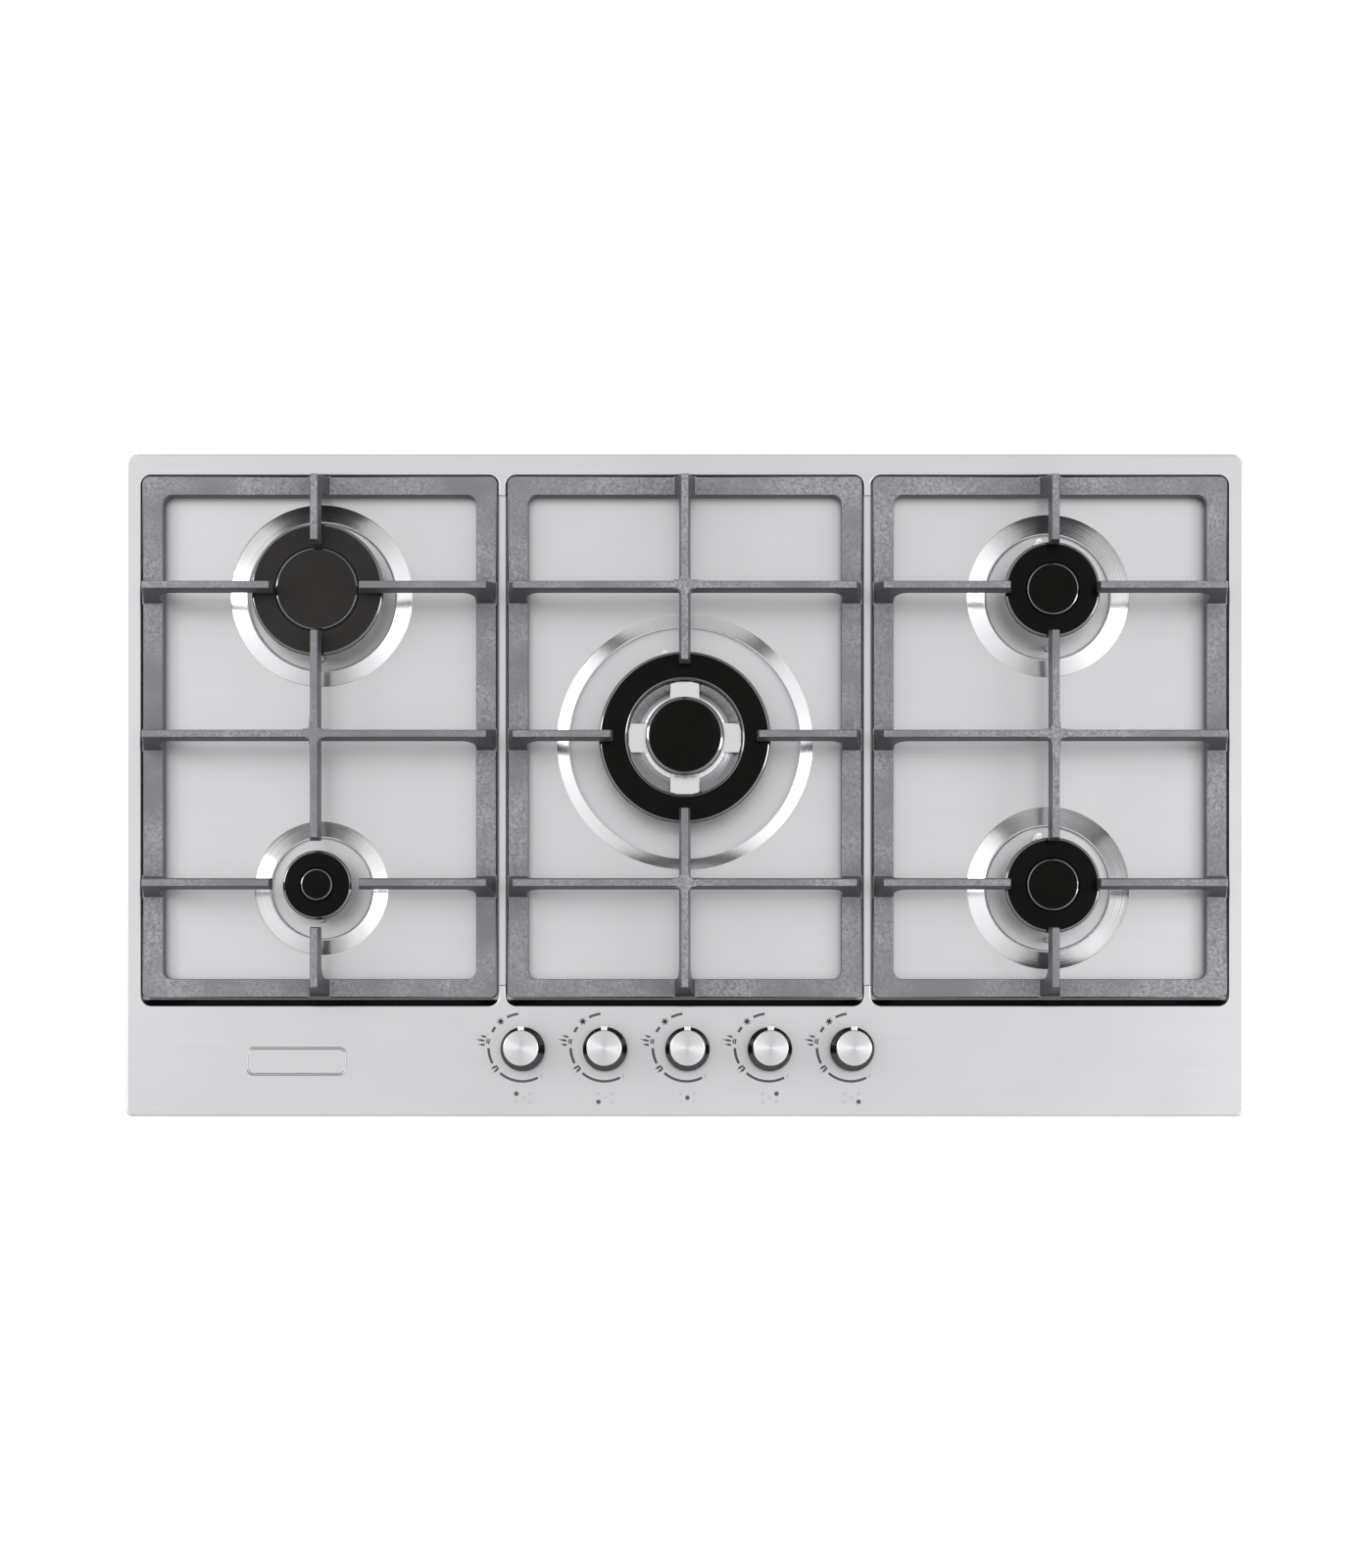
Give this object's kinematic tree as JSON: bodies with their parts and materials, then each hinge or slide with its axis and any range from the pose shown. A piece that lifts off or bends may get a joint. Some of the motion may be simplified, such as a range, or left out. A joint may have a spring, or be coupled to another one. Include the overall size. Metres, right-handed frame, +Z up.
{
  "type": "built-in gas cooktop",
  "caption": "Built-in stainless gas cooktop with cast pan supports, a triple-crown burner in the middle, burners at the corners and a front row of push-and-turn knobs.",
  "frame": {"origin": "centre of the flat underside of the tray, on the bench it stands on; the worktop plane is 55 mm above it", "axes": "+X to the right as seen from the knobs, +Y to the back, +Z up out of the worktop"},
  "size_m": [0.86, 0.51, 0.095],
  "materials": {
    "plate": "satin brushed stainless sheet",
    "tray": "galvanised sheet",
    "foam": "closed-cell foam strip",
    "enamel_iron": "matt enamelled cast iron",
    "cap_enamel": "black enamel on steel",
    "burner_aluminium": "die-cast aluminium",
    "zinc_steel": "zinc-plated steel",
    "brass": "machined brass",
    "ceramic": "glazed white ceramic",
    "steel_pin": "bright steel",
    "knob_metal": "spun and polished aluminium",
    "tube_aluminium": "drawn aluminium tube",
    "module_plastic": "white plastic",
    "gland_plastic": "black nylon"
  },
  "bodies": {
    "hob": {"top_plate": "plate", "worktop_seal": "foam", "bottom_tray": "tray", "gas_rail": "zinc_steel", "cable_gland": "gland_plastic", "spark_module": "module_plastic", "burner_cup_rear_left": "tube_aluminium", "spark_plug_rear_left": "ceramic", "flame_probe_rear_left": "steel_pin", "gas_valve_rear_left": "burner_aluminium", "feed_tube_rear_left": "tube_aluminium", "burner_cup_front_left": "tube_aluminium", "spark_plug_front_left": "ceramic", "flame_probe_front_left": "steel_pin", "gas_valve_front_left": "burner_aluminium", "feed_tube_front_left": "tube_aluminium", "burner_cup_centre": "tube_aluminium", "spark_plug_centre": "ceramic", "flame_probe_centre": "steel_pin", "gas_valve_centre": "burner_aluminium", "feed_tube_centre": "tube_aluminium", "burner_cup_rear_right": "tube_aluminium", "spark_plug_rear_right": "ceramic", "flame_probe_rear_right": "steel_pin", "gas_valve_rear_right": "burner_aluminium", "feed_tube_rear_right": "tube_aluminium", "burner_cup_front_right": "tube_aluminium", "spark_plug_front_right": "ceramic", "flame_probe_front_right": "steel_pin", "gas_valve_front_right": "burner_aluminium", "feed_tube_front_right": "tube_aluminium"},
    "support_left": {"pan_support_left": "enamel_iron"},
    "support_middle": {"pan_support_middle": "enamel_iron"},
    "support_right": {"pan_support_right": "enamel_iron"},
    "cap_rear_left": {"burner_cap_rear_left": "cap_enamel"},
    "head_rear_left": {"burner_head_rear_left": "burner_aluminium"},
    "cap_front_left": {"burner_cap_front_left": "cap_enamel"},
    "head_front_left": {"burner_head_front_left": "burner_aluminium"},
    "cap_centre": {"burner_cap_centre": "cap_enamel"},
    "ring_cap_centre": {"ring_cap_centre": "cap_enamel"},
    "head_centre": {"burner_head_centre": "burner_aluminium"},
    "cap_rear_right": {"burner_cap_rear_right": "cap_enamel"},
    "head_rear_right": {"burner_head_rear_right": "burner_aluminium"},
    "cap_front_right": {"burner_cap_front_right": "cap_enamel"},
    "head_front_right": {"burner_head_front_right": "burner_aluminium"},
    "plug_rear_left": {"valve_plug_rear_left": "brass"},
    "knob_rear_left": {"spindle_rear_left": "steel_pin", "knob_rear_left": "knob_metal"},
    "plug_front_left": {"valve_plug_front_left": "brass"},
    "knob_front_left": {"spindle_front_left": "steel_pin", "knob_front_left": "knob_metal"},
    "plug_centre": {"valve_plug_centre": "brass"},
    "knob_centre": {"spindle_centre": "steel_pin", "knob_centre": "knob_metal"},
    "plug_rear_right": {"valve_plug_rear_right": "brass"},
    "knob_rear_right": {"spindle_rear_right": "steel_pin", "knob_rear_right": "knob_metal"},
    "plug_front_right": {"valve_plug_front_right": "brass"},
    "knob_front_right": {"spindle_front_right": "steel_pin", "knob_front_right": "knob_metal"}
  },
  "joints": [
    {"name": "pan_support_left_lift", "type": "slide", "parent": "hob", "child": "support_left", "axis": [0, 0, 1], "range_m": [0, 0.125]},
    {"name": "pan_support_middle_lift", "type": "slide", "parent": "hob", "child": "support_middle", "axis": [0, 0, 1], "range_m": [0, 0.125]},
    {"name": "pan_support_right_lift", "type": "slide", "parent": "hob", "child": "support_right", "axis": [0, 0, 1], "range_m": [0, 0.125]},
    {"name": "burner_cap_rear_left_lift", "type": "slide", "parent": "hob", "child": "cap_rear_left", "axis": [0, 0, 1], "range_m": [0, 0.0825]},
    {"name": "burner_head_rear_left_lift", "type": "slide", "parent": "hob", "child": "head_rear_left", "axis": [0, 0, 1], "range_m": [0, 0.0425]},
    {"name": "burner_cap_front_left_lift", "type": "slide", "parent": "hob", "child": "cap_front_left", "axis": [0, 0, 1], "range_m": [0, 0.0825]},
    {"name": "burner_head_front_left_lift", "type": "slide", "parent": "hob", "child": "head_front_left", "axis": [0, 0, 1], "range_m": [0, 0.0425]},
    {"name": "burner_cap_centre_lift", "type": "slide", "parent": "hob", "child": "cap_centre", "axis": [0, 0, 1], "range_m": [0, 0.0825]},
    {"name": "ring_cap_centre_lift", "type": "slide", "parent": "hob", "child": "ring_cap_centre", "axis": [0, 0, 1], "range_m": [0, 0.0825]},
    {"name": "burner_head_centre_lift", "type": "slide", "parent": "hob", "child": "head_centre", "axis": [0, 0, 1], "range_m": [0, 0.0425]},
    {"name": "burner_cap_rear_right_lift", "type": "slide", "parent": "hob", "child": "cap_rear_right", "axis": [0, 0, 1], "range_m": [0, 0.0825]},
    {"name": "burner_head_rear_right_lift", "type": "slide", "parent": "hob", "child": "head_rear_right", "axis": [0, 0, 1], "range_m": [0, 0.0425]},
    {"name": "burner_cap_front_right_lift", "type": "slide", "parent": "hob", "child": "cap_front_right", "axis": [0, 0, 1], "range_m": [0, 0.0825]},
    {"name": "burner_head_front_right_lift", "type": "slide", "parent": "hob", "child": "head_front_right", "axis": [0, 0, 1], "range_m": [0, 0.0425]},
    {"name": "knob_rear_left_turn", "type": "hinge", "parent": "hob", "child": "plug_rear_left", "pos_m": [-0.124, -0.203, 0.065], "axis": [0, 0, 1], "range_deg": [0, 210]},
    {"name": "knob_rear_left_push", "type": "slide", "parent": "plug_rear_left", "child": "knob_rear_left", "axis": [0, 0, -1], "range_m": [0, 0.0035], "stiffness_N_per_m": 1200, "springref_m": -0.003},
    {"name": "knob_front_left_turn", "type": "hinge", "parent": "hob", "child": "plug_front_left", "pos_m": [-0.061, -0.203, 0.065], "axis": [0, 0, 1], "range_deg": [0, 210]},
    {"name": "knob_front_left_push", "type": "slide", "parent": "plug_front_left", "child": "knob_front_left", "axis": [0, 0, -1], "range_m": [0, 0.0035], "stiffness_N_per_m": 1200, "springref_m": -0.003},
    {"name": "knob_centre_turn", "type": "hinge", "parent": "hob", "child": "plug_centre", "pos_m": [0.002, -0.203, 0.065], "axis": [0, 0, 1], "range_deg": [0, 210]},
    {"name": "knob_centre_push", "type": "slide", "parent": "plug_centre", "child": "knob_centre", "axis": [0, 0, -1], "range_m": [0, 0.0035], "stiffness_N_per_m": 1200, "springref_m": -0.003},
    {"name": "knob_rear_right_turn", "type": "hinge", "parent": "hob", "child": "plug_rear_right", "pos_m": [0.065, -0.203, 0.065], "axis": [0, 0, 1], "range_deg": [0, 210]},
    {"name": "knob_rear_right_push", "type": "slide", "parent": "plug_rear_right", "child": "knob_rear_right", "axis": [0, 0, -1], "range_m": [0, 0.0035], "stiffness_N_per_m": 1200, "springref_m": -0.003},
    {"name": "knob_front_right_turn", "type": "hinge", "parent": "hob", "child": "plug_front_right", "pos_m": [0.128, -0.203, 0.065], "axis": [0, 0, 1], "range_deg": [0, 210]},
    {"name": "knob_front_right_push", "type": "slide", "parent": "plug_front_right", "child": "knob_front_right", "axis": [0, 0, -1], "range_m": [0, 0.0035], "stiffness_N_per_m": 1200, "springref_m": -0.003}
  ],
  "couplings": [
    {"joint": "burner_cap_rear_left_lift", "follows": "pan_support_left_lift", "ratio": 0.66},
    {"joint": "burner_head_rear_left_lift", "follows": "pan_support_left_lift", "ratio": 0.34},
    {"joint": "burner_cap_front_left_lift", "follows": "pan_support_left_lift", "ratio": 0.66},
    {"joint": "burner_head_front_left_lift", "follows": "pan_support_left_lift", "ratio": 0.34},
    {"joint": "burner_cap_centre_lift", "follows": "pan_support_middle_lift", "ratio": 0.66},
    {"joint": "ring_cap_centre_lift", "follows": "pan_support_middle_lift", "ratio": 0.66},
    {"joint": "burner_head_centre_lift", "follows": "pan_support_middle_lift", "ratio": 0.34},
    {"joint": "burner_cap_rear_right_lift", "follows": "pan_support_right_lift", "ratio": 0.66},
    {"joint": "burner_head_rear_right_lift", "follows": "pan_support_right_lift", "ratio": 0.34},
    {"joint": "burner_cap_front_right_lift", "follows": "pan_support_right_lift", "ratio": 0.66},
    {"joint": "burner_head_front_right_lift", "follows": "pan_support_right_lift", "ratio": 0.34}
  ]
}
